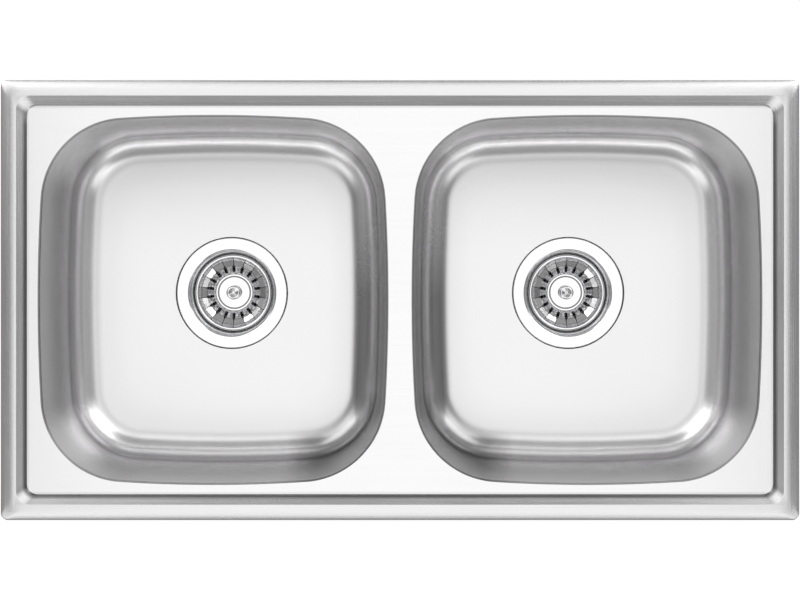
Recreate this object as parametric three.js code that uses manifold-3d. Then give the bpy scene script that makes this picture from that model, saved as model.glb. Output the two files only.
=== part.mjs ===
// Inset double bowl kitchen sink: pressed deck and bowls, two basket wastes, and the clips that hold
// it in a worktop. Millimetres, +Z up, +X right and +Y to the rear. The origin is at the middle of
// the sink, in the plane of the worktop's top.
import * as THREE from "three";
import { mergeVertices } from "three/addons/utils/BufferGeometryUtils.js";
import Module from "manifold-3d";

const wasm = await Module();
wasm.setup();

// ---------------------------------------------------------------- driving dimensions

const SINK_LENGTH = 780;
const SINK_WIDTH = 430;
const SHEET = 0.8; // stainless sheet of the deck and bowls
const FIT = 0.3; // clearance between pieces that only nearly touch
const DECK_TOP = -1; // the deck lies a little below the worktop, inside the raised rim

const RIM = {
  lipHeight: 0.9, // upright lip that stands on the worktop
  shoulder: 1.4, // where the lip's bend ends, in from the edge
  shoulderHeight: 2.4,
  crest: 14.2, // the rim's highest line, in from the edge
  crestHeight: 4.05,
  crestBend: 1.2, // to each side of the crest
  foot: 25.5, // where the inner slope meets the deck
  footBend: 1, // to the slope's side of the foot
  edgeCorner: 7, // corner radii at the edge, the crest and the foot
  crestCorner: 14,
  footCorner: 10,
};

// Strips of deck left round the bowls, at the middle of their sides.
const MARGIN = { side: 35.8, front: 34.2, bridge: 23.2 };

const BOWL = {
  corner: 83,
  bow: 2.75, // how far each side swells past its corners
  lap: 6, // flange under the deck
  setback: 0.2, // of the mouth's bend from the deck's edge
  mouthRadius: 1.4,
  draft: THREE.MathUtils.degToRad(4),
  floorRadius: 27.5, // fillet between wall and floor
  depth: 150, // from the worktop to the floor's edge
  fall: 2, // of the floor, towards the waste
};

// The waste's place, from its bowl's middle.
const WASTE_OFFSET = { inwards: 5.4, rear: 4 };

const BASKET = {
  rimRadius: 39.8,
  rimHeight: 2.4,
  rimWidth: 2.4,
  lift: 5.2, // of its disc above the outlet disc
  discRadius: 19.4,
  discBend: 1.2,
  sheet: 0.8,
  slotCount: 18,
  slotWidth: 2.8,
  slotEnds: 1.4, // plain strip above and below each slot
  knobRadius: 7.5,
  knobHeight: 15,
  stemRadius: 3.2,
  sealRadius: 27,
  sealInner: 10,
  sealLip: 2.4,
  sealWeb: 2.2,
};

const FLANGE = {
  sheet: 1,
  ringWidth: 10.8, // flat ring in the floor's recess
  throatRadius: 3, // bend from the ring into the dish
  dishLean: 3.2, // how much wider the dish is at its top
  dishPlay: 1.2, // round the basket's rim
  ledge: 2.2, // under the basket's rim
  ledgeDrop: 18.5, // from the ring down to the ledge
  cupDrop: 18.5, // from the ledge down to the outlet disc
  cupBend: 3,
  wellDepth: 6.5, // well in the disc, for the central screw's head
  wellPlay: 2,
  wellLean: 1.6,
  outletCount: 6,
  outletRadius: 4.2,
  outletCircle: 17,
};

const RECESS = { play: 0.8, lean: 0.8, depth: 3 }; // step down in the floor that takes the flange
const SEAL_THICK = 1.5; // between floor and flange
const GASKET_THICK = 2.5; // between floor and waste body

// the M6 screw that joins flange and body, whose tall hollow head takes the basket's pin
const SCREW = { radius: 3, play: 0.5, head: 7, headHeight: 9, hollow: 3.5, hollowDepth: 7.2, spare: 1.7 };
const PIN = { play: 0.7, tipPlay: 0.8, waist: 0.5, bead: 3.4, beadTop: 2.4 };

const BODY = {
  rimThick: 4,
  wall: 2.8,
  neckPlay: 0.6, // outside the hole in the floor
  waterGap: 4.2, // round the flange's cup
  outletBore: 20,
  outletWall: 3.9, // with the G 1 1/2 thread, 47.8 mm over it
  outletLength: 35,
  funnel: 4.5, // widening above the outlet, as wide as it is high less a little
  boss: 6.5,
  bossLength: 14,
  ribCount: 3,
  ribThick: 3,
  ribHeight: 9,
};

// sound pad under a floor, from and to as parts of the way from the floor's edge to the recess
const PAD = { thick: 2.5, from: 0.12, to: 0.86 };

const RIM_SEAL = { from: 2.5, to: 9 }; // foam strip, in from the edge

const CLIP = {
  endDistance: 60, // corner clips, from the sink's ends
  cutEdge: 10, // the worktop's cut edge, in from the sink's edge
  thickWorktop: 40, // the claw at rest grips a worktop this thick, and rises to the thin one
  thinWorktop: 18,
  sheet: 1.5,
  width: 20,
  screwAt: 20,
  armPlay: 2, // of the bracket's arm inside the cut edge
  mouthPlay: 0.8, // of its seat short of the bowl's mouth
  liftPlay: 3, // between the raised claw and the arm
  clawFrom: 1.5,
  clawLeg: 17,
  guidePlay: 1,
  toothCount: 3,
  toothDepth: 1.5,
  screwRadius: 2.5,
  holeRadius: 3,
  headRadius: 4.6,
  headHeight: 3.5,
  engaged: 4, // thread above the arm at rest
};

const STEPS = {
  sideSteps: 2,
  bowlCornerSteps: 6,
  rimCornerSteps: 4,
  bendSteps: 2,
  filletSteps: 3,
  wasteSegments: 24,
  basketSegments: 36,
  stemSegments: 16,
  screwSegments: 8,
};

// ---------------------------------------------------------------- sizes worked out from the above

const bowlLength = SINK_LENGTH / 2 - MARGIN.side - MARGIN.bridge / 2;
const bowlWidth = SINK_WIDTH - 2 * MARGIN.front;
const bowlCentre = (bowlLength + MARGIN.bridge) / 2;

const dishFoot = BASKET.rimRadius + FLANGE.dishPlay;
const throat = dishFoot + FLANGE.dishLean + FLANGE.throatRadius;
const flangeRadius = throat + FLANGE.ringWidth;
const cupRadius = dishFoot - FLANGE.ledge;
const wellRadius = SCREW.head + FLANGE.wellPlay;
const floorHole = throat - FLANGE.throatRadius + FLANGE.sheet + 0.8;
const recessRadius = flangeRadius + RECESS.play;
const screwBore = SCREW.radius + SCREW.play;
const outletRadius = BODY.outletBore + BODY.outletWall;
const basketSideTop = cupRadius - FLANGE.sheet - 0.6;

const deckUnder = DECK_TOP - SHEET;
const lapUnder = deckUnder - SHEET;
const recessRim = -BOWL.depth - BOWL.fall;
const recessLevel = recessRim - RECESS.depth;
const flangeUnder = recessLevel + SEAL_THICK;
const flangeTop = flangeUnder + FLANGE.sheet;
const ledgeLevel = flangeTop - FLANGE.ledgeDrop;
const outletDisc = ledgeLevel - FLANGE.cupDrop;
const wellLevel = outletDisc - FLANGE.wellDepth;
const headTop = wellLevel + SCREW.headHeight;
const hollowFloor = headTop - SCREW.hollowDepth;
const gasketTop = recessLevel - SHEET;
const bodyTop = gasketTop - GASKET_THICK;
const bossTop = wellLevel - FLANGE.sheet - FIT;
const outletTop = bossTop - BODY.bossLength;
const outletEnd = outletTop - BODY.outletLength;
const basketRimUnder = ledgeLevel + FIT;
const basketDisc = outletDisc + BASKET.lift;
const basketUnder = basketDisc - BASKET.sheet;

const clipWeb = RIM.foot + SHEET * 2; // the bracket's upright stands clear of the rim's slope
const clawTip = -CLIP.thickWorktop;
const clawUnder = clawTip - CLIP.clawLeg;
const clawTravel = CLIP.thickWorktop - CLIP.thinWorktop;
const armUnder = clawUnder + CLIP.sheet + clawTravel + CLIP.liftPlay;
const guideFrom = clipWeb + CLIP.sheet + CLIP.guidePlay;
const guideTip = lapUnder - CLIP.sheet - FIT * 3 - clawTravel;
const clipScrewTip = armUnder + CLIP.sheet + CLIP.engaged;

// ---------------------------------------------------------------- materials

const metal = (color, roughness) => new THREE.MeshStandardMaterial({ color, roughness, metalness: 1 });
const matt = (color, roughness) => new THREE.MeshStandardMaterial({ color, roughness, metalness: 0 });

const MATERIALS = {
  brushed: metal(0xd8dadb, 0.32),
  polished: metal(0xe6e8e9, 0.12),
  zinc: metal(0xb9bcc0, 0.4),
  rubber: matt(0x1d1d1f, 0.7),
  foam: matt(0x4a4b4d, 0.95),
  damping: matt(0x6b6d70, 0.9),
  plastic: matt(0xe2e2de, 0.45),
};

// ---------------------------------------------------------------- shapes

// Points [x, y] of an arc, from its start up to but not including its end.
function arc(x, y, radius, from, to, steps) {
  const curve = new THREE.EllipseCurve(x, y, radius, radius, from, to, to < from);
  return curve
    .getPoints(steps)
    .slice(0, -1)
    .map((p) => [p.x, p.y]);
}

// A polyline [x, z] moved sideways, to the right of its direction, with mitred corners.
function offsetLine(points, distance) {
  const normals = points.slice(1).map(([x, z], i) => {
    const [dx, dz] = [x - points[i][0], z - points[i][1]];
    const length = Math.hypot(dx, dz);
    return [dz / length, -dx / length];
  });
  return points.map(([x, z], i) => {
    const before = normals[Math.max(i - 1, 0)];
    const after = normals[Math.min(i, normals.length - 1)];
    const scale = distance / (1 + before[0] * after[0] + before[1] * after[1]);
    return [x + (before[0] + after[0]) * scale, z + (before[1] + after[1]) * scale];
  });
}

// The closed section of a sheet whose one face is given and whose other lies to the right of it.
const sheetSection = (face, thickness) => [...face, ...offsetLine(face, thickness).reverse()];

// The outline of a bowl from above, anticlockwise: four bowed sides and four corners, tangent arcs
// about centres that stay where they are as the outline is set inwards.
function bowlOutline(inset) {
  const half = [bowlLength / 2, bowlWidth / 2];
  const corner = half.map((h) => h - BOWL.corner - BOWL.bow);
  const sideRadius = (reach) => BOWL.corner + (reach ** 2 + BOWL.bow ** 2) / (2 * BOWL.bow);
  const radius = [sideRadius(corner[1]), sideRadius(corner[0])];
  const turn = [0, 1].map((i) => Math.atan2(corner[1 - i], radius[i] - BOWL.corner - BOWL.bow));
  const points = [];
  for (let quarter = 0; quarter < 4; quarter++) {
    const side = quarter % 2;
    const facing = (quarter * Math.PI) / 2;
    const [cos, sin] = [Math.round(Math.cos(facing)), Math.round(Math.sin(facing))];
    const reach = half[side] - radius[side];
    const [from, to] = [facing - turn[side], facing + turn[side]];
    const end = facing + Math.PI / 2 - turn[1 - side];
    points.push(...arc(cos * reach, sin * reach, radius[side] - inset, from, to, STEPS.sideSteps));
    const [x, y] = [quarter % 3 === 0 ? corner[0] : -corner[0], quarter < 2 ? corner[1] : -corner[1]];
    points.push(...arc(x, y, BOWL.corner - inset, to, end, STEPS.bowlCornerSteps));
  }
  return points;
}

// A rounded rectangle, the rim's outline at a distance in from the sink's edge.
function rimOutline(inset) {
  const { crest, foot, edgeCorner, crestCorner, footCorner } = RIM;
  const { mapLinear, clamp } = THREE.MathUtils;
  const radius =
    inset < crest
      ? mapLinear(inset, 0, crest, edgeCorner, crestCorner)
      : mapLinear(clamp(inset, crest, foot), crest, foot, crestCorner, footCorner);
  const [x, y] = [SINK_LENGTH / 2 - inset - radius, SINK_WIDTH / 2 - inset - radius];
  const corners = [[x, y], [-x, y], [-x, -y], [x, -y]];
  return corners.flatMap(([cx, cy], i) => {
    const from = (i * Math.PI) / 2;
    const curve = new THREE.EllipseCurve(cx, cy, radius, radius, from, from + Math.PI / 2);
    return curve.getPoints(STEPS.rimCornerSteps).map((p) => [p.x, p.y]);
  });
}

// Triangles laid down ring by ring. A band between two rings faces up where the second is the outer.
class Skin {
  positions = [];

  triangle(a, b, c) {
    this.positions.push(...a, ...b, ...c);
  }

  band(inner, outer) {
    inner.forEach((a, i) => {
      const next = (i + 1) % inner.length;
      this.triangle(a, outer[i], outer[next]);
      this.triangle(a, outer[next], inner[next]);
    });
  }

  plate(outline, holes, z, up) {
    const vectors = [outline, ...holes].map((ring) => ring.map(([x, y]) => new THREE.Vector2(x, y)));
    const points = vectors.flat().map((p) => [p.x, p.y, z]);
    for (const [a, b, c] of THREE.ShapeUtils.triangulateShape(vectors[0], vectors.slice(1))) {
      const [first, last] = up ? [a, c] : [c, a];
      this.triangle(points[first], points[b], points[last]);
    }
  }

  geometry() {
    const geometry = new THREE.BufferGeometry();
    geometry.setAttribute("position", new THREE.Float32BufferAttribute(this.positions, 3));
    return welded(geometry);
  }
}

const atHeight = (outline, z) => outline.map(([x, y]) => [x, y, z]);
const moved = (outline, x, y) => outline.map(([px, py]) => [px + x, py + y]);

// A ring-shaped solid from rings that follow one another round its section.
function loft(rings) {
  const skin = new Skin();
  rings.forEach((ring, i) => skin.band(ring, rings[(i + 1) % rings.length]));
  return skin.geometry();
}

// One closed skin with shared vertices and no slivers of zero area.
function welded(source) {
  const geometry = source.clone();
  geometry.deleteAttribute("normal");
  geometry.deleteAttribute("uv");
  const merged = mergeVertices(geometry, 1e-4);
  const index = [...merged.index.array];
  const kept = [];
  for (let i = 0; i < index.length; i += 3) {
    const [a, b, c] = index.slice(i, i + 3);
    if (a !== b && b !== c && c !== a) kept.push(a, b, c);
  }
  merged.setIndex(kept);
  return merged;
}

function flipped(geometry) {
  const index = geometry.index.array;
  for (let i = 0; i < index.length; i += 3) [index[i], index[i + 1]] = [index[i + 1], index[i]];
  return geometry;
}

function volume(geometry) {
  const { position } = geometry.attributes;
  const corner = [0, 1, 2].map(() => new THREE.Vector3());
  let sum = 0;
  for (let i = 0; i < geometry.index.count; i += 3) {
    corner.forEach((v, k) => v.fromBufferAttribute(position, geometry.index.getX(i + k)));
    sum += corner[0].dot(corner[1].cross(corner[2])) / 6;
  }
  return sum;
}

// A solid of revolution about Z from its section [radius, z]. A section that starts on the axis ends
// there, and any other closes on itself.
function turned(section, segments = STEPS.wasteSegments) {
  const onAxis = section[0][0] === 0;
  const line = onAxis ? section : [...section, section[0]];
  const lathe = new THREE.LatheGeometry(line.map(([r, z]) => new THREE.Vector2(r, z)), segments);
  const geometry = welded(lathe.rotateX(Math.PI / 2));
  return volume(geometry) < 0 ? flipped(geometry) : geometry;
}

// A section [y, z] drawn out along X, equally to both sides.
function extruded(section, width) {
  const shape = new THREE.Shape(section.map(([y, z]) => new THREE.Vector2(y, z)));
  const geometry = new THREE.ExtrudeGeometry(shape, { depth: width, bevelEnabled: false });
  geometry.translate(0, 0, -width / 2);
  const [x, y, z] = [new THREE.Vector3(1, 0, 0), new THREE.Vector3(0, 1, 0), new THREE.Vector3(0, 0, 1)];
  return welded(geometry.applyMatrix4(new THREE.Matrix4().makeBasis(y, z, x)));
}

// An upright cylinder that spans two heights.
function rod(radius, low, high, segments = STEPS.screwSegments) {
  const geometry = new THREE.CylinderGeometry(radius, radius, high - low, segments);
  return geometry.rotateX(Math.PI / 2).translate(0, 0, (low + high) / 2);
}

function solid(geometry) {
  const { index, attributes } = welded(geometry);
  return new wasm.Manifold(
    new wasm.Mesh({
      numProp: 3,
      vertProperties: Float32Array.from(attributes.position.array),
      triVerts: Uint32Array.from(index.array),
    }),
  );
}

function geometryOf(manifold) {
  const { vertProperties, triVerts } = manifold.getMesh();
  const geometry = new THREE.BufferGeometry();
  geometry.setAttribute("position", new THREE.Float32BufferAttribute(vertProperties, 3));
  geometry.setIndex([...triVerts]);
  return geometry;
}

const combine = (body, others, step) => geometryOf(others.map(solid).reduce(step, solid(body)));
const cut = (body, tools) => combine(body, tools, (rest, tool) => rest.subtract(tool));
const join = (body, parts) => combine(body, parts, (sum, part) => sum.add(part));

// Copies of a shape at equal angles about Z.
function around(count, make) {
  return Array.from({ length: count }, (_, i) => make().rotateZ((i * 2 * Math.PI) / count));
}

// ---------------------------------------------------------------- deck and bowls

// The rim's upper face [in from the edge, height], from the lip's foot to the flat deck.
const rimSlope = (RIM.crestHeight - DECK_TOP) / (RIM.foot - RIM.crest);
const flatFrom = RIM.foot + 1.5 * SHEET;
const rimFace = [
  [0, 0],
  [0, RIM.lipHeight],
  [RIM.shoulder * 0.3, THREE.MathUtils.lerp(RIM.lipHeight, RIM.shoulderHeight, 0.67)],
  [RIM.shoulder, RIM.shoulderHeight],
  [RIM.crest * 0.6, THREE.MathUtils.lerp(RIM.shoulderHeight, RIM.crestHeight, 0.72)],
  [RIM.crest - RIM.crestBend, RIM.crestHeight - RIM.crestBend * 0.05],
  [RIM.crest, RIM.crestHeight],
  [RIM.crest + RIM.crestBend, RIM.crestHeight - RIM.crestBend * rimSlope * 0.7],
  [RIM.foot - RIM.footBend, DECK_TOP + RIM.footBend * rimSlope * 0.7],
  [RIM.foot, DECK_TOP],
  [flatFrom, DECK_TOP],
];
const rimUnderFace = offsetLine(rimFace, SHEET);

function deckGeometry() {
  const skin = new Skin();
  const rings = [...[...rimFace].reverse(), ...rimUnderFace].map(([u, z]) => atHeight(rimOutline(u), z));
  for (let i = 1; i < rings.length; i++) skin.band(rings[i - 1], rings[i]);
  const holes = [-1, 1].map((side) => moved(bowlOutline(0), side * bowlCentre, 0));
  const inner = rimOutline(flatFrom);
  skin.plate(inner, holes, DECK_TOP, true);
  skin.plate(inner, holes, deckUnder, false);
  for (const hole of holes) skin.band(atHeight(hole, deckUnder), atHeight(hole, DECK_TOP));
  return skin.geometry();
}

// The bowl's inner face along its middle section [in from the mouth, z], in two runs: rings that
// follow the bowl's outline, then rings about the waste.
function bowlWallFace() {
  const { mouthRadius, draft, floorRadius, depth, lap } = BOWL;
  const mouth = [BOWL.setback, deckUnder - mouthRadius];
  const bend = arc(...mouth, mouthRadius, Math.PI / 2, draft, STEPS.bendSteps);
  const bendEnd = [mouth[0] + mouthRadius * Math.cos(draft), mouth[1] + mouthRadius * Math.sin(draft)];
  const slope = Math.atan2(BOWL.fall, bowlLength / 2 - recessRadius - RECESS.lean - floorRadius);
  const centreZ = -depth + floorRadius * Math.cos(slope);
  const wallEndZ = centreZ - floorRadius * Math.sin(draft);
  const centreS = bendEnd[0] + (bendEnd[1] - wallEndZ) * Math.tan(draft) + floorRadius * Math.cos(draft);
  const [wallEnd, floorStart] = [Math.PI + draft, 1.5 * Math.PI - slope];
  const fillet = arc(centreS, centreZ, floorRadius, wallEnd, floorStart, STEPS.filletSteps);
  const floorEdge = [centreS - floorRadius * Math.sin(slope), -depth];
  return [[-lap, deckUnder], ...bend, bendEnd, ...fillet, floorEdge];
}
const wallFace = bowlWallFace();
const recessFace = [
  [recessRadius + RECESS.lean, recessRim],
  [recessRadius, recessLevel],
  [floorHole, recessLevel],
].map(([r, z]) => [bowlLength / 2 - r, z]);
const bowlFace = [...wallFace, ...recessFace];
const bowlUnderFace = offsetLine(bowlFace, SHEET);

// A circle about the waste, in the bowl's own frame, with a point for each one of the bowl's outline,
// which starts half a side before the middle of its right side.
function wasteRing(radius, side) {
  const steps = 4 * (STEPS.sideSteps + STEPS.bowlCornerSteps);
  const start = (-STEPS.sideSteps * Math.PI) / steps;
  return arc(-side * WASTE_OFFSET.inwards, WASTE_OFFSET.rear, radius, start, start + 2 * Math.PI, steps);
}

function bowlRing([s, z], index, side) {
  const onOutline = index < wallFace.length;
  return atHeight(onOutline ? bowlOutline(s) : wasteRing(bowlLength / 2 - s, side), z);
}

function bowlGeometry(side) {
  const inside = bowlFace.map((point, i) => bowlRing(point, i, side));
  const outside = bowlUnderFace.map((point, i) => bowlRing(point, i, side));
  return loft([...inside.reverse(), ...outside]);
}

// The pad follows the floor's underside, part of the way from its edge to the recess.
function padGeometry(side) {
  const last = wallFace.length - 1;
  const [edge, recess] = [last, last + 1].map((i) => bowlRing(bowlUnderFace[i], i, side));
  const ring = (way, drop) =>
    edge.map((outer, i) => {
      const [x, y, z] = outer.map((value, k) => THREE.MathUtils.lerp(value, recess[i][k], way));
      return [x, y, z - drop];
    });
  const [top, bottom] = [FIT, FIT + PAD.thick];
  return loft([ring(PAD.to, top), ring(PAD.from, top), ring(PAD.from, bottom), ring(PAD.to, bottom)]);
}

function rimSealGeometry() {
  const heightAt = (u) => {
    const i = rimUnderFace.findIndex(([x]) => x > u && x > RIM.shoulder);
    const [[x0, z0], [x1, z1]] = [rimUnderFace[i - 1], rimUnderFace[i]];
    return THREE.MathUtils.mapLinear(u, x0, x1, z0, z1) - FIT;
  };
  const { from, to } = RIM_SEAL;
  const rings = [[to, heightAt(to)], [from, heightAt(from)], [from, 0], [to, 0]];
  return loft(rings.map(([u, z]) => atHeight(rimOutline(u), z)));
}

// ---------------------------------------------------------------- basket waste

function flangeGeometry() {
  const { throatRadius, cupBend, wellLean, sheet } = FLANGE;
  const lean = Math.atan2(FLANGE.dishLean, FLANGE.ledgeDrop - throatRadius);
  const bendCentre = [throat, flangeTop - throatRadius];
  const bend = arc(...bendCentre, throatRadius, Math.PI / 2, Math.PI - lean, STEPS.bendSteps);
  const face = [
    [flangeRadius, flangeTop],
    ...bend,
    [throat - throatRadius * Math.cos(lean), flangeTop - throatRadius * (1 - Math.sin(lean))],
    [dishFoot, ledgeLevel],
    [cupRadius, ledgeLevel],
    [cupRadius - cupBend / 5, outletDisc + cupBend],
    [cupRadius - cupBend, outletDisc],
    [wellRadius + wellLean, outletDisc],
    [wellRadius, wellLevel],
    [screwBore, wellLevel],
  ];
  const dish = turned(sheetSection(face.reverse(), sheet));
  const { outletRadius: radius, outletCount, outletCircle } = FLANGE;
  const hole = () => rod(radius, outletDisc - 2 * sheet, outletDisc + sheet).translate(0, outletCircle, 0);
  return cut(dish, around(outletCount, hole));
}

// A flat ring between two radii and two heights.
function washer(inner, outer, low, high, segments = STEPS.wasteSegments) {
  return turned([[inner, low], [outer, low], [outer, high], [inner, high]], segments);
}

// The pot under the floor: a rim, a tapering wall, a funnel into the threaded outlet, and inside a
// boss for the screw, carried on ribs.
function bodyGeometry() {
  const { rimThick, wall, outletBore, boss, funnel, ribHeight } = BODY;
  const neck = floorHole + BODY.neckPlay;
  const shoulder = cupRadius + FLANGE.sheet + BODY.waterGap;
  const shoulderLevel = outletDisc + FLANGE.sheet;
  const inside = [
    [neck, bodyTop],
    [neck, bodyTop - rimThick - wall / 2],
    [shoulder, shoulderLevel],
    [outletBore + funnel, outletTop + funnel * 1.2],
    [outletBore, outletTop],
  ];
  const outside = [
    [outletRadius, outletTop - wall / 3],
    [outletBore + funnel + wall / 2, outletTop + wall],
    [shoulder + wall, shoulderLevel - wall / 2],
    [neck + wall, bodyTop - rimThick - wall / 2],
    [flangeRadius, bodyTop - rimThick],
    [flangeRadius, bodyTop],
  ];
  const pot = turned([...inside, [outletBore, outletEnd], [outletRadius, outletEnd], ...outside]);
  const tube = washer(screwBore, boss, outletTop, bossTop, STEPS.stemSegments);
  // each rib runs into the middle of the wall: halfway between its inner and outer faces
  const [highR, highZ] = [(inside[2][0] + outside[2][0]) / 2, (inside[2][1] + outside[2][1]) / 2];
  const [lowR, lowZ] = [(inside[3][0] + outside[1][0]) / 2, (inside[3][1] + outside[1][1]) / 2];
  const ribTop = lowZ + ribHeight;
  const ribReach = THREE.MathUtils.mapLinear(ribTop, highZ, lowZ, highR, lowR);
  const section = [[boss - 1, ribTop], [ribReach, ribTop], [lowR, lowZ], [boss - 1, lowZ]];
  const ribs = around(BODY.ribCount, () => extruded(section, BODY.ribThick));
  return join(pot, [join(tube, ribs)]);
}

function fixingScrewGeometry() {
  const { radius, head, hollow, spare } = SCREW;
  const end = outletTop - spare;
  return turned(
    [
      [0, end],
      [radius, end],
      [radius, wellLevel],
      [head, wellLevel],
      [head, headTop],
      [hollow, headTop],
      [hollow, hollowFloor],
      [0, hollowFloor],
    ],
    STEPS.screwSegments,
  );
}

function basketGeometry() {
  const { rimRadius, rimHeight, rimWidth, discRadius, discBend, sheet } = BASKET;
  const sideFoot = discRadius + discBend;
  const face = [
    [0, basketDisc],
    [discRadius, basketDisc],
    [sideFoot + discBend, basketDisc + discBend],
    [basketSideTop, basketRimUnder - 2 * FIT],
    [rimRadius - rimWidth, basketRimUnder + rimHeight],
    [rimRadius, basketRimUnder + rimHeight],
    [rimRadius, basketRimUnder],
    [basketSideTop + sheet, basketRimUnder],
    [basketSideTop + sheet / 2, basketRimUnder - 1.7 * sheet],
    [sideFoot + discBend + sheet / 2, basketDisc + discBend - 1.3 * sheet],
    [discRadius + sheet / 2, basketUnder],
    [0, basketUnder],
  ];
  const cup = turned(face, STEPS.basketSegments);
  const { slotEnds, slotWidth, slotCount } = BASKET;
  const [from, to] = [sideFoot + slotEnds, basketSideTop - slotEnds];
  const [low, high] = [basketUnder - sheet, basketRimUnder + rimHeight + sheet];
  const slot = () => {
    const box = new THREE.BoxGeometry(slotWidth, to - from, high - low);
    return box.translate(0, (from + to) / 2, (low + high) / 2);
  };
  return cut(cup, around(slotCount, slot));
}

function knobGeometry() {
  const { knobRadius, knobHeight, stemRadius } = BASKET;
  const top = basketDisc + knobHeight;
  return turned(
    [
      [0, basketDisc],
      [stemRadius * 1.6, basketDisc],
      [stemRadius, basketDisc + stemRadius],
      [stemRadius, top - knobRadius],
      [knobRadius, top - knobRadius * 0.65],
      [knobRadius, top - knobRadius * 0.3],
      [knobRadius * 0.8, top - knobRadius * 0.1],
      [0, top],
    ],
    STEPS.stemSegments,
  );
}

function basketSealGeometry() {
  const { sealRadius, sealInner, sealLip, sealWeb } = BASKET;
  const low = outletDisc + FIT;
  return turned([
    [sealInner, basketUnder],
    [sealRadius - sealLip, basketUnder],
    [sealRadius, low],
    [sealRadius - sealLip, low],
    [sealRadius - 1.5 * sealLip, basketUnder - sealWeb],
    [sealInner, basketUnder - sealWeb],
  ]);
}

// The pin under the basket, waisted above the bead that clicks into the screw's hollow head.
function pinGeometry() {
  const radius = SCREW.hollow - PIN.play;
  const waist = radius - PIN.waist;
  const low = hollowFloor + PIN.tipPlay;
  return turned(
    [
      [0, basketUnder],
      [radius, basketUnder],
      [waist, basketUnder - PIN.beadTop],
      [waist, low + PIN.bead],
      [radius, low + PIN.beadTop],
      [waist - PIN.waist, low],
      [0, low],
    ],
    STEPS.screwSegments,
  );
}

// ---------------------------------------------------------------- clips
// Each is drawn at the front edge: Y counts in from the sink's edge, and X runs along it.

function bracketGeometry(seat) {
  const { sheet, width, screwAt, holeRadius } = CLIP;
  const seatEnd = MARGIN.side - CLIP.mouthPlay;
  const armEnd = CLIP.cutEdge + CLIP.armPlay;
  const section = [
    [clipWeb, seat],
    [seatEnd, seat],
    [seatEnd, seat - sheet],
    [clipWeb + sheet, seat - sheet],
    [clipWeb + sheet, armUnder],
    [armEnd, armUnder],
    [armEnd, armUnder + sheet],
    [clipWeb, armUnder + sheet],
  ];
  const hole = rod(holeRadius, armUnder - sheet, armUnder + 2 * sheet).translate(0, screwAt, 0);
  return cut(extruded(section, width), [hole]);
}

function clawGeometry() {
  const { clawFrom, sheet, width, screwAt, holeRadius, toothCount, toothDepth } = CLIP;
  const section = [
    [clawFrom, clawUnder],
    [guideFrom + sheet, clawUnder],
    [guideFrom + sheet, guideTip],
    [guideFrom, guideTip],
    [guideFrom, clawUnder + sheet],
    [clawFrom + sheet, clawUnder + sheet],
    [clawFrom + sheet, clawTip],
    [clawFrom, clawTip],
  ];
  const hole = rod(holeRadius, clawUnder - sheet, clawUnder + 2 * sheet).translate(0, screwAt, 0);
  const notches = Array.from({ length: toothCount - 1 }, (_, i) => {
    const x = ((i + 1) / toothCount - 0.5) * width;
    const notch = new THREE.CylinderGeometry(toothDepth, toothDepth, 3 * sheet, 4);
    return notch.translate(x, clawFrom + sheet / 2, clawTip);
  });
  return cut(extruded(section, width), [hole, ...notches]);
}

function clipScrewGeometry() {
  const { screwRadius, headRadius, headHeight, screwAt } = CLIP;
  const chamfer = screwRadius * 0.3;
  const screw = turned(
    [
      [0, clawUnder - headHeight],
      [headRadius, clawUnder - headHeight],
      [headRadius, clawUnder],
      [screwRadius, clawUnder],
      [screwRadius, clipScrewTip - chamfer],
      [screwRadius - chamfer, clipScrewTip],
      [0, clipScrewTip],
    ],
    STEPS.screwSegments,
  );
  return screw.translate(0, screwAt, 0);
}

// ---------------------------------------------------------------- assembly

const sink = new THREE.Group();

function add(parent, name, geometry, material) {
  const mesh = new THREE.Mesh(geometry, material);
  mesh.name = name;
  parent.add(mesh);
}

function group(x, y, turn = 0) {
  const placed = new THREE.Group();
  placed.position.set(x, y, 0);
  placed.rotation.z = turn;
  sink.add(placed);
  return placed;
}

add(sink, "deck", deckGeometry(), MATERIALS.brushed);
add(sink, "rim_seal", rimSealGeometry(), MATERIALS.foam);

const flangeSeal = washer(floorHole + 2, flangeRadius - 1, recessLevel, flangeUnder);
const bowlGasket = washer(floorHole + 1, flangeRadius - 1, bodyTop, gasketTop);
const wastePieces = {
  waste_flange: [flangeGeometry(), MATERIALS.polished],
  flange_seal: [flangeSeal, MATERIALS.rubber],
  bowl_gasket: [bowlGasket, MATERIALS.rubber],
  waste_body: [bodyGeometry(), MATERIALS.plastic],
  fixing_screw: [fixingScrewGeometry(), MATERIALS.zinc],
  basket_cup: [basketGeometry(), MATERIALS.polished],
  basket_knob: [knobGeometry(), MATERIALS.polished],
  basket_seal: [basketSealGeometry(), MATERIALS.rubber],
  basket_pin: [pinGeometry(), MATERIALS.zinc],
};

for (const [side, label] of [[-1, "left"], [1, "right"]]) {
  const bowl = group(side * bowlCentre, 0);
  add(bowl, `bowl_${label}`, bowlGeometry(side), MATERIALS.brushed);
  add(bowl, `sound_pad_${label}`, padGeometry(side), MATERIALS.damping);
  const waste = group(side * (bowlCentre - WASTE_OFFSET.inwards), WASTE_OFFSET.rear);
  for (const [name, [geometry, material]] of Object.entries(wastePieces)) {
    add(waste, `${name}_${label}`, geometry, material);
  }
}

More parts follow.
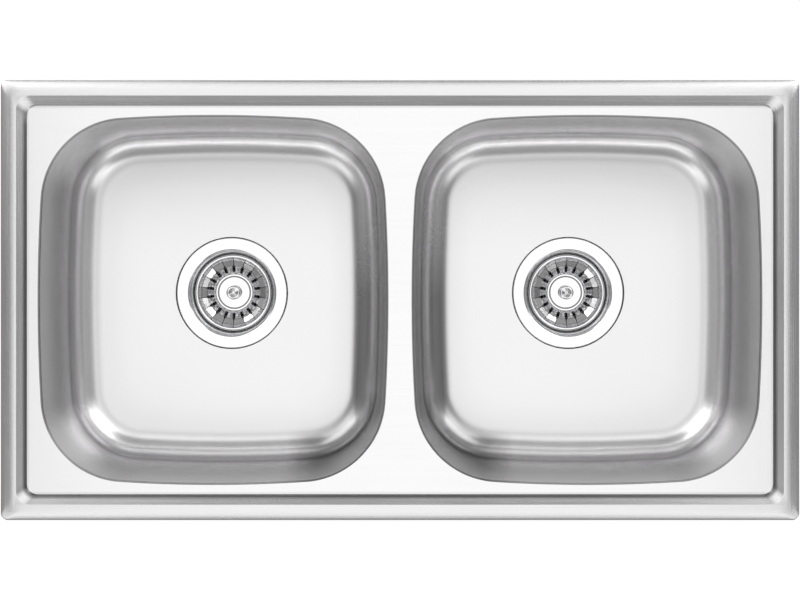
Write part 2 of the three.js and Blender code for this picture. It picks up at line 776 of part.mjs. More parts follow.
const [deckBracket, lapBracket] = [deckUnder, lapUnder].map(bracketGeometry);
const claw = clawGeometry();
const clipScrew = clipScrewGeometry();
const [halfLength, halfWidth] = [SINK_LENGTH / 2, SINK_WIDTH / 2];
const cornerClip = halfLength - CLIP.endDistance;
const clipPlaces = [
  ["front_left", -cornerClip, -halfWidth, 0, deckBracket],
  ["front_middle", 0, -halfWidth, 0, deckBracket],
  ["front_right", cornerClip, -halfWidth, 0, deckBracket],
  ["rear_left", -cornerClip, halfWidth, 2, deckBracket],
  ["rear_middle", 0, halfWidth, 2, deckBracket],
  ["rear_right", cornerClip, halfWidth, 2, deckBracket],
  ["left", -halfLength, 0, -1, lapBracket],
  ["right", halfLength, 0, 1, lapBracket],
];
for (const [place, x, y, quarters, bracket] of clipPlaces) {
  const clip = group(x, y, (quarters * Math.PI) / 2);
  add(clip, `clip_bracket_${place}`, bracket, MATERIALS.zinc);
  add(clip, `clip_claw_${place}`, claw, MATERIALS.zinc);
  add(clip, `clip_screw_${place}`, clipScrew, MATERIALS.zinc);
}

export default sink;
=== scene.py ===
"""Double bowl kitchen sink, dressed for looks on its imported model.

Sizes are in millimetres, in the frame of the model: X to the right along the sink, Y to the rear,
Z up, and the origin at the middle of the sink in the plane of the worktop's top.
"""

import bmesh
import bpy
import numpy as np
from mathutils import Matrix, Vector


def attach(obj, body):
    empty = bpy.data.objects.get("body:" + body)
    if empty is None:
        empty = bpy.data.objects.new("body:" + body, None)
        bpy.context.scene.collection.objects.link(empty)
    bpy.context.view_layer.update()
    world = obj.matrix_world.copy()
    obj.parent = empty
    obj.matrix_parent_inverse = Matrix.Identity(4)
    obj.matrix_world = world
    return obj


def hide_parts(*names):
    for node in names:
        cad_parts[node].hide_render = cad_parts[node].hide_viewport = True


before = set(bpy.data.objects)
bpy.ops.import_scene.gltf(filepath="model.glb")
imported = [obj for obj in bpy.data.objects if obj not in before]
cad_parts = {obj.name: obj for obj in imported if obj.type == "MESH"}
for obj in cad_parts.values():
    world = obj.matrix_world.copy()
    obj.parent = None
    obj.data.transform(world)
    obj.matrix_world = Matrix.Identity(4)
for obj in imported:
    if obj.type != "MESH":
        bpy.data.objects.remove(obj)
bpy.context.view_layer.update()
scene = bpy.context.scene
scene.view_settings.view_transform = "Standard"

# ---------------------------------------------------------------- camera
# It looks straight down from a little behind the middle, as the photograph's does, and its shift
# keeps the sink in the middle of the frame.
PHOTO_WIDTH = 781.9  # what the frame's width takes in at the rim
CAMERA_HEIGHT = 1900.0
CAMERA_REAR = 43.0

lens = bpy.data.cameras.new("camera")
lens.sensor_width = 36
lens.lens = lens.sensor_width * CAMERA_HEIGHT / PHOTO_WIDTH
lens.shift_y = -CAMERA_REAR / PHOTO_WIDTH
camera = bpy.data.objects.new("camera", lens)
camera.location = (0, CAMERA_REAR / 1000, CAMERA_HEIGHT / 1000)
scene.collection.objects.link(camera)
scene.camera = camera

# ---------------------------------------------------------------- deck
# One pressing of 0.8 mm stainless sheet: a raised rim with an upright lip, a flat deck a millimetre
# below the worktop, and two mouths. It is brushed along each side of the rim.
LENGTH, WIDTH, SHEET, DECK_TOP = 780.0, 430.0, 0.8, -1.0
RIM_CREST, RIM_FOOT, FLAT_FROM = 14.2, 25.5, 28.0  # in from the sink's edge
CREST_HEIGHT = 4.05
LIP_END, CROWN = 1.2, 1.6  # where the lip's bend ends, and how far the crest is above it
END_POINTS, SIDE_POINTS, CORNER_POINTS = 80, 144, 12  # along the rim's ends, sides and corners
BRIDGE_POINTS = 48  # across the deck, between the bowls
BOWL_LENGTH, BOWL_WIDTH, BOWL_CENTRE = 342.6, 361.6, 182.9
MOUTH_CORNER, MOUTH_BOW = 83.0, 2.75  # the corners' radius, and how far the sides bow out
STAINLESS, BARE_STEEL = (0.6, 0.595, 0.6), 0.58  # as a colour, and as a plain shade
GREEN_OF_STEEL = 0.992  # its green, as a part of its red and blue
FINE_BRUSH, COARSE_BRUSH = 1500, 330  # streaks a metre
CREASE = np.radians(35)  # edges that turn by more are shaded sharp
TURN = 2 * np.pi


class Signal:
    """A socket that a material's nodes give out. Arithmetic on it adds Math nodes."""

    def __init__(self, nodes, socket):
        self.nodes, self.socket = nodes, socket

    def maths(self, operation, *values, clamp=False):
        settings = {"operation": operation, "use_clamp": clamp}
        return self.nodes.add("Math", settings, dict(enumerate(values)))

    def __add__(self, other):
        return self.maths("ADD", self, other)

    def __sub__(self, other):
        return self.maths("SUBTRACT", self, other)

    def __rsub__(self, other):
        return self.maths("SUBTRACT", other, self)

    def __mul__(self, other):
        return self.maths("MULTIPLY", self, other)

    def __abs__(self):
        return self.maths("ABSOLUTE", self)

    __radd__, __rmul__ = __add__, __mul__

    def root(self):
        return self.maths("SQRT", self)

    def least(self, other):
        return self.maths("MINIMUM", self, other)

    def most(self, other):
        return self.maths("MAXIMUM", self, other)

    def over(self, low, high):
        """0 below low and 1 above high, in a straight line between."""
        return self.maths("MULTIPLY", self - low, 1 / (high - low), clamp=True)

    def band(self, low, full, fading, high):
        """0 below low, 1 from full to fading, and 0 above high."""
        return self.over(low, full) - self.over(fading, high)


class Nodes:
    """The nodes of one material, or of the world."""

    def __init__(self, tree):
        self.tree = tree

    def add(self, kind, settings=None, values=None, out=0):
        """A node of this kind: its settings are set first, then its sockets get values or links."""
        node = self.tree.nodes.new("ShaderNode" + kind)
        settings = dict(settings or {})
        stops = settings.pop("stops", ())
        for key, value in settings.items():
            setattr(node, key, value)
        for number, (at, level) in enumerate(stops):
            ramp = node.color_ramp.elements
            stop = ramp[number] if number < 2 else ramp.new(at)
            stop.position, stop.color = at, (level, level, level, 1)
        for key, value in (values or {}).items():
            self.link(node.inputs[key], value)
        return Signal(self, node.outputs[out])

    def link(self, socket, value):
        if isinstance(value, Signal):
            self.tree.links.new(value.socket, socket)
        else:
            socket.default_value = value


class Finish(Nodes):
    """A material: one Principled shader, with values on its sockets and nodes behind others."""

    def __init__(self, name, colour, roughness, metallic=0.0):
        self.material = bpy.data.materials.new(name)
        self.material.use_nodes = True
        super().__init__(self.material.node_tree)
        self.shader = self.tree.nodes["Principled BSDF"]
        self.feed("Base Color", (*colour, 1))
        self.feed("Roughness", roughness)
        self.feed("Metallic", metallic)
        self.place = self.add("TexCoord", out="Object")

    def feed(self, name, value):
        self.link(self.shader.inputs[name], value)

    def axes(self):
        """The place on the piece along X, Y and Z, in millimetres."""
        parts = self.add("SeparateXYZ", None, {0: self.place}).socket.node.outputs
        return [Signal(self, part) * 1000 for part in parts]

    def noise(self, scale, detail=3.0, rough=0.5):
        """Noise from 0 to 1. scale is cells a metre, one number or one for each axis."""
        at = self.place
        if not np.isscalar(scale):
            at = self.add("Mapping", {"vector_type": "POINT"}, {"Vector": at, "Scale": scale})
            scale = 1.0
        values = {"Vector": at, "Scale": scale, "Detail": detail, "Roughness": rough}
        return self.add("TexNoise", None, values, out="Fac")

    def cells(self, scale, out):
        """Cells, so many a metre: their Distance from a middle, or a random Color for each."""
        return self.add("TexVoronoi", None, {"Vector": self.place, "Scale": scale}, out=out)

    def mix(self, factor, first, second):
        """A colour between two colours."""
        values = {"Factor": factor, 6: (*first, 1), 7: (*second, 1)}
        return self.add("Mix", {"data_type": "RGBA"}, values, out=2)

    def tinted(self, shade, green=1.0, blue=1.0):
        """The colour whose red is this shade, and whose green and blue are parts of it."""
        return self.add("CombineColor", None, {0: shade, 1: shade * green, 2: shade * blue})

    def emboss(self, height, depth):
        """Bump with this height from 0 to 1, worth depth in millimetres."""
        bump = self.add("Bump", None, {"Height": height, "Distance": depth / 1000}, out="Normal")
        self.feed("Normal", bump)


def quads(shape, rows_close, columns_close):
    """Faces between neighbouring points of a grid with this shape, numbered row by row."""
    index = np.arange(shape[0] * shape[1]).reshape(shape[:2])
    if rows_close:
        index = np.vstack([index, index[:1]])
    if columns_close:
        index = np.hstack([index, index[:, :1]])
    corners = index[:-1, :-1], index[1:, :-1], index[1:, 1:], index[:-1, 1:]
    return np.stack(corners, -1).reshape(-1, 4)


def weld(mesh):
    """Merges points that coincide, drops faces of no area and turns every face outwards."""
    shape = bmesh.new()
    shape.from_mesh(mesh)
    bmesh.ops.remove_doubles(shape, verts=shape.verts, dist=2e-6)
    bmesh.ops.dissolve_degenerate(shape, edges=shape.edges, dist=1e-7)
    bmesh.ops.recalc_face_normals(shape, faces=shape.faces)
    shape.to_mesh(mesh)
    shape.free()


def bare(grids, name="shape"):
    """An object with closed faces from grids (points, rows close, columns close), in millimetres.

    The grids' shared edges are welded and all faces are turned outwards.
    """
    points, faces, count = [], [], 0
    for grid, *closes in grids:
        points.append(grid.reshape(-1, 3))
        faces.append(quads(grid.shape, *closes) + count)
        count += len(points[-1])
    mesh = bpy.data.meshes.new(name)
    mesh.from_pydata((np.concatenate(points) / 1000).tolist(), [], np.concatenate(faces).tolist())
    weld(mesh)
    made = bpy.data.objects.new(name, mesh)
    scene.collection.objects.link(made)
    return made


def dress(made, material, body, node):
    """Gives a piece its material and shading, and says what it rides on and stands for."""
    made.data.materials.clear()
    made.data.materials.append(material)
    made.data.shade_smooth()
    made.data.set_sharp_from_angle(angle=CREASE)
    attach(made, body)
    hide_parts(node)


def piece(name, grids, material, body):
    """A finished piece on a body of the model, which replaces the node of the same name."""
    dress(bare(grids, name + "_look"), material, body, name)


def heading(angle):
    """The flat direction [x, y] at each angle."""
    return np.stack([np.cos(angle), np.sin(angle)], -1)


def raised(flat, height):
    """A flat line [x, y] put at a height, one number or one for each point."""
    height = np.broadcast_to(np.reshape(height, (-1, 1)), (len(flat), 1))
    return np.concatenate([flat, height], 1)


def offset(line, distance):
    """An open line moved to the right of its direction, with mitred corners."""
    step = np.diff(line, axis=0)
    normal = np.stack([step[:, 1], -step[:, 0]], 1) / np.linalg.norm(step, axis=1, keepdims=True)
    before, after = np.vstack([normal[:1], normal]), np.vstack([normal, normal[-1:]])
    return line + (before + after) * distance / (1 + (before * after).sum(1, keepdims=True))


def eased(corners, steps=5, closed=True):
    """A line [across, up, radius] with an arc of that radius at each corner.

    Each arc touches both sides of its corner: it starts radius / tan(half the inner angle) before
    the corner, and its points turn evenly from one radius to the other. A short flat step before
    and after it keeps the long flat sides' shading flat.
    """
    corners = np.array(corners, float)
    at, radius = corners[:, :2], corners[:, 2:].copy()
    back, ahead = np.roll(at, 1, 0) - at, np.roll(at, -1, 0) - at
    if not closed:
        back[0], ahead[-1] = -ahead[0], -back[-1]
        radius[[0, -1]] = 0
    side = np.linalg.norm(ahead, axis=1, keepdims=True)
    back /= np.linalg.norm(back, axis=1, keepdims=True)
    ahead /= side
    half = np.arccos(np.clip((back * ahead).sum(1, keepdims=True), -1, 1)) / 2
    half = np.clip(half, 1e-3, np.pi / 2 - 1e-3)
    reach = radius / np.tan(half)
    middle = back + ahead
    middle /= np.maximum(np.linalg.norm(middle, axis=1, keepdims=True), 1e-9)
    centre = at + middle * radius / np.sin(half)
    first, last = at + back * reach, at + ahead * reach
    swing = (np.pi - 2 * half)[:, None]
    part = np.linspace(0, 1, steps)[None, :, None]
    from_first = np.sin((1 - part) * swing) * (first - centre)[:, None]
    from_last = np.sin(part * swing) * (last - centre)[:, None]
    arc = centre[:, None] + (from_first + from_last) / np.sin(swing)
    free = np.clip(side - reach - np.roll(reach, -1, 0), 0, None)
    step = np.minimum(free * 0.25, 0.2)
    before, after = first + back * np.roll(step, 1, 0), last + ahead * step
    line = np.concatenate([before[:, None], arc, after[:, None]], 1)
    line = np.where(radius[:, None] > 0, line, at[:, None]).reshape(-1, 2)
    keep = np.linalg.norm(np.diff(line, axis=0, prepend=line[-1:]), axis=1) > 1e-4
    keep[0] = True
    return line[keep]


def rim_line(inset):
    """The rim's outline at an inset from the sink's edge, anticlockwise from the middle of the rear.

    Corners are quarter circles and sides are evenly divided, with as many points at every inset.
    """
    corner = np.interp(inset, [0, RIM_CREST, RIM_FOOT], [7, 14, 10])
    x, y = LENGTH / 2 - inset - corner, WIDTH / 2 - inset - corner
    turn = np.linspace(0, np.pi / 2, CORNER_POINTS + 1)[:-1]
    end, side = (2 * y, END_POINTS), (2 * x, SIDE_POINTS)
    centres = [(-x, y, *end), (-x, -y, *side), (x, -y, *end), (x, y, *side)]
    loop = []
    for quarter, (centre_x, centre_y, length, count) in enumerate(centres, 1):
        facing = (quarter + 1) * np.pi / 2
        arc = [centre_x, centre_y] + corner * heading(turn + quarter * np.pi / 2)
        start = [centre_x, centre_y] + corner * heading(facing)
        way = np.linspace(0, length, count + 1)[:-1, None]
        loop += [arc, start + heading(facing + np.pi / 2) * way]
    return np.roll(np.concatenate(loop), SIDE_POINTS // 2, axis=0)


def bowl_line(inset, facing):
    """Points of a bowl's outline, set inwards, where its outward normal has each of these angles.

    Four bowed sides and four corners are arcs that touch, about centres that don't move as the
    outline is set inwards.
    """
    half = np.array([BOWL_LENGTH, BOWL_WIDTH]) / 2
    corner = half - MOUTH_CORNER - MOUTH_BOW
    radius = MOUTH_CORNER + (corner[::-1] ** 2 + MOUTH_BOW**2) / (2 * MOUTH_BOW)
    turn = np.arctan2(corner[::-1], radius - MOUTH_CORNER - MOUTH_BOW)
    cos, sin = np.cos(facing), np.sin(facing)
    folded = np.arctan2(abs(sin), abs(cos))
    where = [folded < turn[0], folded > np.pi / 2 - turn[1]]
    centre_x = np.select(where, [half[0] - radius[0], 0 * folded], corner[0])
    centre_y = np.select(where, [0 * folded, half[1] - radius[1]], corner[1])
    reach = np.select(where, [radius[0] + 0 * folded, radius[1] + 0 * folded], MOUTH_CORNER) - inset
    x, y = centre_x + reach * abs(cos), centre_y + reach * abs(sin)
    return np.stack([np.copysign(x, cos), np.copysign(y, sin)], -1)


def mouth_points(inset, towards):
    """Where the rays from a bowl's middle to each of these points cross its outline."""
    outline = bowl_line(inset, np.linspace(0, TURN, 20001))
    angle = np.unwrap(np.arctan2(outline[:, 1], outline[:, 0]))
    wanted = np.mod(np.arctan2(towards[:, 1], towards[:, 0]) - angle[0], TURN) + angle[0]
    return np.interp(wanted, angle, np.linalg.norm(outline, axis=1))[:, None] * heading(wanted)


def rim_grid():
    """The rim's section carried round the sink: its top from the deck to the lip, then its underside.

    From the lip's bend the top rises to the crest, ever less steeply, and the slope inside the
    crest falls to the deck. The underside is the top moved down by the sheet's thickness.
    """
    across = np.linspace(LIP_END, RIM_CREST, 15)
    below_crest = CROWN * ((RIM_CREST - across) / (RIM_CREST - LIP_END)) ** 2.2
    crown = np.stack([across, CREST_HEIGHT - below_crest], 1)
    lip = eased([[0, 0, 0], [0, 2.05, 1.5], [*crown[0], 1.2], [*crown[1], 0]], 7, closed=False)
    slope = eased(
        [
            [RIM_CREST, CREST_HEIGHT, 0],
            [RIM_CREST + 1.1, CREST_HEIGHT - 0.03, 1.1],
            [RIM_FOOT - 1.5, DECK_TOP + 0.85, 2],
            [RIM_FOOT - 0.3, DECK_TOP, 0.45],
            [FLAT_FROM, DECK_TOP, 0],
        ],
        7,
        closed=False,
    )
    top = np.vstack([lip[:-1], crown[1:-1], slope])
    section = np.vstack([top[::-1], offset(top, SHEET)])
    return np.stack([raised(rim_line(inset), height) for inset, height in section])


def deck_half():
    """Top, rounded edge round the mouth and underside of the deck's left half, row by row.

    Each row goes round the mouth, and the rows between the mouth and the half's own edge divide
    the rays from the bowl's middle evenly.
    """
    loop = rim_line(FLAT_FROM)
    rear = loop[0, 1]
    bridge = np.linspace(-rear, rear, BRIDGE_POINTS + 1)[1:-1]
    half_edge = np.vstack([loop[: len(loop) // 2 + 1], np.stack([0 * bridge, bridge], 1)])
    from_middle = half_edge + [BOWL_CENTRE, 0]
    mouth = [[-0.6, 0], [-0.4, 0], [-0.27, -0.04], [-0.1, -0.15], [0, -0.36], [0, -0.6], [-0.12, -SHEET]]
    rows = [raised(mouth_points(inset, from_middle), DECK_TOP + rise) for inset, rise in mouth]
    way = np.linspace(1, 0, 9)[:-1, None, None]
    top = raised(from_middle, DECK_TOP)
    under = raised(from_middle, DECK_TOP - SHEET)
    above, below = rows[0] + (top - rows[0]) * way, rows[-1] + (under - rows[-1]) * way[::-1]
    return np.stack([*above, *rows, *below]) - [BOWL_CENTRE, 0, 0]


# Fine and coarse streaks run along each side of the rim. Painted shade makes the steel a little darker
# on the rim and its slope, and darkest in thin painted lines of shade at the rim's foot, which fades at
# the rear, round the mouths' edges and along the lip.
steel = Finish("deck_steel", STAINLESS, 0.25, 1.0)
cloud = steel.noise(9, 2)
x, y, height = steel.axes()
from_end, from_side = LENGTH / 2 - abs(x), WIDTH / 2 - abs(y)
inset = from_end.least(from_side)
on_ends = (from_side - from_end).over(-0.2, 0.2)
on_rim = 1 - inset.over(RIM_FOOT + 0.5, FLAT_FROM)
on_slope = on_rim * inset.over(RIM_CREST + 0.3, RIM_CREST + 1.3)
fine, coarse = (
    steel.noise((4, brush, brush), 2, 0.6) * (1 - on_ends) + steel.noise((brush, 4, brush), 2, 0.6) * on_ends
    for brush in (FINE_BRUSH, COARSE_BRUSH)
)
coat = fine * 0.4 + coarse * 0.6
steel.emboss(fine * 0.3 + coarse * on_rim, 0.025)
steel.feed("Roughness", 0.22 + 0.05 * cloud + 0.3 * abs((coat - 0.5) * on_rim))
# Painted shade: thin dark lines in the crease at the rim's foot, round the mouths' rounded edges and along
# the lip, and a slight darkening of the rim and its slope.
foot = height.band(-0.99, -0.9, 0.3, 1.6) * (1 - 0.85 * y.over(170, 190))
painted_mouth_shade = height.band(-1.75, -1.62, -1.22, -1.06)
painted_lip_shade = 1 - inset.over(1.0, 1.9)
shade = BARE_STEEL + 0.048 * coat + 0.032 * cloud
shade = shade * (1 - 0.72 * foot - 0.7 * painted_mouth_shade)
shade = shade * (1 - 0.09 * on_rim - 0.07 * on_slope - 0.4 * painted_lip_shade)
steel.feed("Base Color", steel.tinted(shade, GREEN_OF_STEEL))

left_half = deck_half()
right_half = left_half * [-1, 1, 1]
deck_grids = [(rim_grid(), False, True), (left_half, False, True), (right_half, False, True)]
piece("deck", deck_grids, steel.material, "sink")

# ---------------------------------------------------------------- foam strip
# A strip of closed-cell foam, glued under the rim all round, which seals the rim to the worktop. It
# follows the rim's underside and is flat below.
STRIP_OUTER, STRIP_INNER = 2.6, 8.9  # in from the sink's edge
OUTER_TOP, INNER_TOP = 1.97, 3.0

foam = Finish("foam", (0.2, 0.2, 0.21), 0.95)
foam_cells = foam.cells(1400, "Distance")
foam.emboss(foam_cells, 0.25)
foam.feed("Base Color", foam.mix(foam_cells, (0.12, 0.12, 0.125), (0.27, 0.27, 0.28)))

strip = eased(
    [
        [STRIP_OUTER, 0, 0.3],
        [STRIP_INNER, 0, 0.3],
        [STRIP_INNER, INNER_TOP, 0.3],
        [STRIP_OUTER, OUTER_TOP, 0.3],
    ],
    4,
)
strip_grid = np.stack([raised(rim_line(inset), height) for inset, height in strip])
piece("rim_seal", [(strip_grid, True, True)], foam.material, "sink")

# ---------------------------------------------------------------- bowls
# Each bowl is deep drawn from 0.8 mm stainless sheet, with a lap round its mouth that is welded
# under the deck, walls that lean 4 degrees, and a floor that falls 2 mm to the waste's recess.
SIDES = (("left", -1), ("right", 1))
WASTE_INWARDS, WASTE_REAR = 5.4, 4.0  # the waste's middle, from the bowl's
DEPTH, FALL, DRAFT = 150.0, 2.0, np.radians(4)
RECESS_RADIUS, RECESS_LEVEL, FLOOR_HOLE = 58.8, -155.0, 46.0
MOUTH_BEND, FILLET_HEIGHT, FILLET_REACH = 1.4, 27.5, 33.0
LAP_TOP = DECK_TOP - SHEET
BOWL_POINTS, FLOOR_ROWS = 336, 18  # points round the wall, and rows between fillet and recess
RAMP_DEPTH = 160
# Painted light and shade on the steel at each height inside a bowl: dark at the floor's edge, with
# two pale bands up the fillet, then darker up the wall, and darkest just under the mouth.
PAINTED_BOWL_SHADING = [
    *[(-160, 0.6), (-151, 0.6), (-150.05, 0.58), (-149.8, 0.44), (-148.9, 0.44), (-147.5, 0.68)],
    *[(-144.5, 0.74), (-142, 0.8), (-138.5, 0.86), (-134.5, 0.86), (-130, 0.78), (-126, 0.68)],
    *[(-121, 0.66), (-116, 0.84), (-106, 0.84), (-90, 0.7), (-70, 0.55), (-48, 0.44), (-12, 0.4)],
    *[(-5, 0.42), (-3.6, 0.38), (-3.2, 0.2), (-1.6, 0.2)],
]


def bowl_facings():
    """The normals' angles at points evenly spaced round a bowl's wall."""
    facing = np.linspace(0, TURN, 40001)
    step = np.linalg.norm(np.diff(bowl_line(20, facing), axis=0), axis=1)
    length = np.concatenate([[0], np.cumsum(step)])
    return np.interp(np.arange(BOWL_POINTS) / BOWL_POINTS * length[-1], length, facing)


def bowl_wall():
    """The bowl's inner face [inset, height] from its lap down to the floor's edge.

    A tight bend turns the lap into the leaning wall. A quarter of an ellipse, wider than it is
    high, turns the wall into the floor, and meets the slope of each.
    """
    slope = np.arctan2(FALL, BOWL_LENGTH / 2 - RECESS_RADIUS - FILLET_REACH)
    bend = np.linspace(np.pi / 2, DRAFT, 9)
    mouth = (heading(bend) - [0, 1]) * MOUTH_BEND + [0.2, LAP_TOP]
    squash = FILLET_REACH / FILLET_HEIGHT
    first, last = np.arctan(np.tan(DRAFT) / squash), np.arctan(np.tan(slope) * squash)
    middle = -DEPTH + FILLET_HEIGHT * np.cos(last)
    wall_end = middle - FILLET_HEIGHT * np.sin(first)
    wall_inset = mouth[-1, 0] + (mouth[-1, 1] - wall_end) * np.tan(DRAFT)
    turn = np.linspace(np.pi + first, 1.5 * np.pi - last, 24)
    fillet = heading(turn) * [FILLET_REACH, FILLET_HEIGHT]
    fillet += [wall_inset + FILLET_REACH * np.cos(first), middle]
    wall = mouth[-1] + (fillet[0] - mouth[-1]) * np.linspace(0, 1, 14)[1:-1, None]
    return np.vstack([[[-6, LAP_TOP], [-3, LAP_TOP]], mouth, wall, fillet])


facings = bowl_facings()
wall_in = bowl_wall()
floor_end = -DEPTH - FALL
recess = eased(
    [
        [63, floor_end, 0],
        [RECESS_RADIUS + 0.2, floor_end, 0.5],
        [RECESS_RADIUS, RECESS_LEVEL, 0.6],
        [FLOOR_HOLE, RECESS_LEVEL, 0],
    ],
    closed=False,
)
section_in = np.vstack([wall_in, recess * [-1, 1] + [BOWL_LENGTH / 2, 0]])
section_out = offset(section_in, SHEET)


def bowl_rows(section, side):
    """Rings at each [inset, height]: outlines down the wall, then circles about the waste.

    On the floor between them, each point goes straight from the outline to the circle.
    """
    wall, rest = section[: len(wall_in)], section[len(wall_in) :]
    outlines = [raised(bowl_line(inset, facings), height) for inset, height in wall]
    waste = np.array([-side * WASTE_INWARDS, WASTE_REAR])
    ray = outlines[-1][:, :2] - waste
    ray /= np.linalg.norm(ray, axis=1, keepdims=True)
    circles = [raised(waste + ray * (BOWL_LENGTH / 2 - inset), height) for inset, height in rest]
    way = np.linspace(0, 1, FLOOR_ROWS + 2)[1:-1, None, None]
    floor = outlines[-1] + (circles[0] - outlines[-1]) * way
    return np.concatenate([outlines, floor, circles])


def mark_inside(made, middle):
    """Stores 1 at the points of a bowl that face into it and 0 at the others, as "inside".

    A point faces outwards where its normal leads away from the bowl's middle, or down.
    """
    mesh = made.data
    at, facing = np.empty(len(mesh.vertices) * 3), np.empty(len(mesh.vertices) * 3)
    mesh.vertices.foreach_get("co", at)
    mesh.vertex_normals.foreach_get("vector", facing)
    at, facing = at.reshape(-1, 3), facing.reshape(-1, 3)
    away = ((at[:, :2] - [middle / 1000, 0]) * facing[:, :2]).sum(1)
    inwards = (away * 10 - facing[:, 2] < 0).astype(np.float32)
    mesh.attributes.new("inside", "FLOAT", "POINT").data.foreach_set("value", inwards)


# A satin finish with no direction. Inside, painted light makes the rear wall paler, and painted shade
# darkens the floor's rear, the lower wall by the bridge and the front corner next to it.
satin = Finish("bowl_steel", STAINLESS, 0.25, 1.0)
cloud = satin.noise(9, 2)
coat = satin.noise(FINE_BRUSH, 2, 0.6)
satin.emboss(coat, 0.0012)
satin.feed("Roughness", 0.21 + 0.05 * cloud + 0.05 * coat)
x, y, height = satin.axes()
from_bridge = abs(x)
# Painted light and shade by height inside the bowl, from the ramp above.
stops = [(1 + at / RAMP_DEPTH, level) for at, level in PAINTED_BOWL_SHADING]
painted_shading = satin.add("ValToRGB", {"stops": stops}, {0: height.over(-RAMP_DEPTH, 0)})
# Painted light on the rear wall; painted shade on the floor's rear, by the bridge and in the front corner.
rear = y.over(30, 160)
on_floor = 1 - height.over(-149.5, -140)
by_bridge = from_bridge.band(25, 31, 46, 55) * (1 - y.over(0, 120))
front_corner = from_bridge.band(15, 30, 85, 120) * (1 - y.over(-140, -90))
painted_inner_shade = by_bridge.most(front_corner) * height.over(-150.2, -148)
painted_shading = painted_shading * (1 + rear * rear * (0.28 - 0.58 * on_floor)) * (1 - 0.55 * painted_inner_shade)
inside = satin.add("Attribute", {"attribute_name": "inside"}, out="Fac")
shade = painted_shading * inside + BARE_STEEL * (1 - inside) + 0.05 * (coat - 0.5) + 0.03 * (cloud - 0.5)
satin.feed("Base Color", satin.tinted(shade, GREEN_OF_STEEL))

for label, side in SIDES:
    middle = side * BOWL_CENTRE
    inner, outer = bowl_rows(section_in, side), bowl_rows(section_out, side)
    bowl_grid = np.concatenate([inner[::-1], outer]) + [middle, 0, 0]
    bowl = bare([(bowl_grid, True, True)], f"bowl_{label}_look")
    mark_inside(bowl, middle)
    dress(bowl, satin.material, "sink", f"bowl_{label}")

# ---------------------------------------------------------------- sound pads
# A ring of mineral-filled damping sheet, 2.5 mm thick, bonded under each floor between its edge and
# the waste. It stops short of both and its edges are eased.
PAD_GAP = 0.3
# The part of the way from the floor's edge to its hole, and how far down.
PAD_SECTION = [
    *[(0.86, 0), (0.85, 0), (0.14, 0), (0.12, 0.5)],
    *[(0.12, 2.0), (0.14, 2.5), (0.84, 2.5), (0.86, 2.0)],
]

pad = Finish("damping_pad", (0.3, 0.31, 0.32), 0.9)
pad_grain = pad.noise(700, 4, 0.65)
pad.emboss(pad_grain, 0.35)
pad.feed("Base Color", pad.mix(pad_grain, (0.22, 0.225, 0.23), (0.38, 0.385, 0.395)))

for label, side in SIDES:
    under = bowl_rows(section_out, side) + [side * BOWL_CENTRE, 0, -PAD_GAP]
    edge, hole = under[len(wall_in) - 1], under[len(wall_in) + FLOOR_ROWS]
    pad_rows = [edge + (hole - edge) * way - [0, 0, drop] for way, drop in PAD_SECTION]
    piece(f"sound_pad_{label}", [(np.stack(pad_rows), True, True)], pad.material, "sink")

# ---------------------------------------------------------------- wastes
# A dished flange of pressed steel in each recess, with six outlet holes, is clamped by a central
# screw to a plastic pot under the floor, with a rubber seal above the floor and a gasket below it.
# The pot's outlet has a pipe thread.
FLANGE_RADIUS, FLANGE_TOP, THROAT, FLANGE_SHEET = 58.0, -152.5, 47.2, 1.0
DISH_FOOT, LEDGE, CUP_RADIUS = 41.0, -171.0, 38.8
OUTLET_DISC, WELL_LEVEL, HEAD_TOP = -189.5, -196.0, -187.0
WELL_RADIUS, DISC_EDGE = 10.6, 30.0  # the disc with the outlet holes is between them
OUTLET_HOLES, HOLE_RADIUS, HOLE_CIRCLE = 6, 4.2, 17.0
BODY_TOP, OUTLET_TOP, OUTLET_END = -158.3, -211.3, -246.3
PIPE_RADIUS, PIPE_BORE, PIPE_PITCH, PIPE_GROOVE = 23.9, 20.0, 2.309, 1.3
ROUND = 144  # points round a turned piece
THREAD_ROWS = 8  # rows in each turn of a thread

rubber = Finish("seal_rubber", (0.035, 0.035, 0.037), 0.6)
rubber.emboss(rubber.noise(900, 4), 0.05)
rubber.feed("Roughness", 0.5 + 0.25 * rubber.noise(160))

dull = Finish("dull_steel", (0.3, 0.3, 0.3), 0.35, 1.0)
stains = dull.noise(90, 4, 0.6)
# Painted shade darkens the cup below the ledge, in the hollow under the basket.
above_ledge = dull.axes()[2].over(LEDGE - 0.4, LEDGE + 0.6)  # bright above it; painted shade below it, with random stains
dull.feed("Roughness", 0.1 + 0.08 * stains + 0.3 * (1 - above_ledge))
dull.feed("Base Color", dull.tinted(0.09 + 0.08 * stains + 0.53 * above_ledge, 1.0, 1.01))
dull.emboss(stains, 0.02)

plastic = Finish("white_plastic", (0.8, 0.8, 0.77), 0.42)
speckle = plastic.noise(1800, 3)
plastic.emboss(speckle, 0.02)
plastic.feed("Roughness", 0.36 + 0.16 * speckle)
plastic.feed("Base Color", plastic.mix(plastic.noise(14, 2), (0.77, 0.77, 0.735), (0.83, 0.83, 0.805)))

zinc = Finish("zinc_plate", (0.66, 0.69, 0.71), 0.38, 1.0)
spangle = zinc.add("SeparateColor", None, {0: zinc.cells(420, "Color")}, out=0)
zinc.feed("Base Color", zinc.mix(spangle, (0.56, 0.59, 0.62), (0.72, 0.74, 0.75)))
zinc.feed("Roughness", 0.3 + 0.18 * spangle)
zinc.emboss(zinc.noise(2200, 3), 0.01)


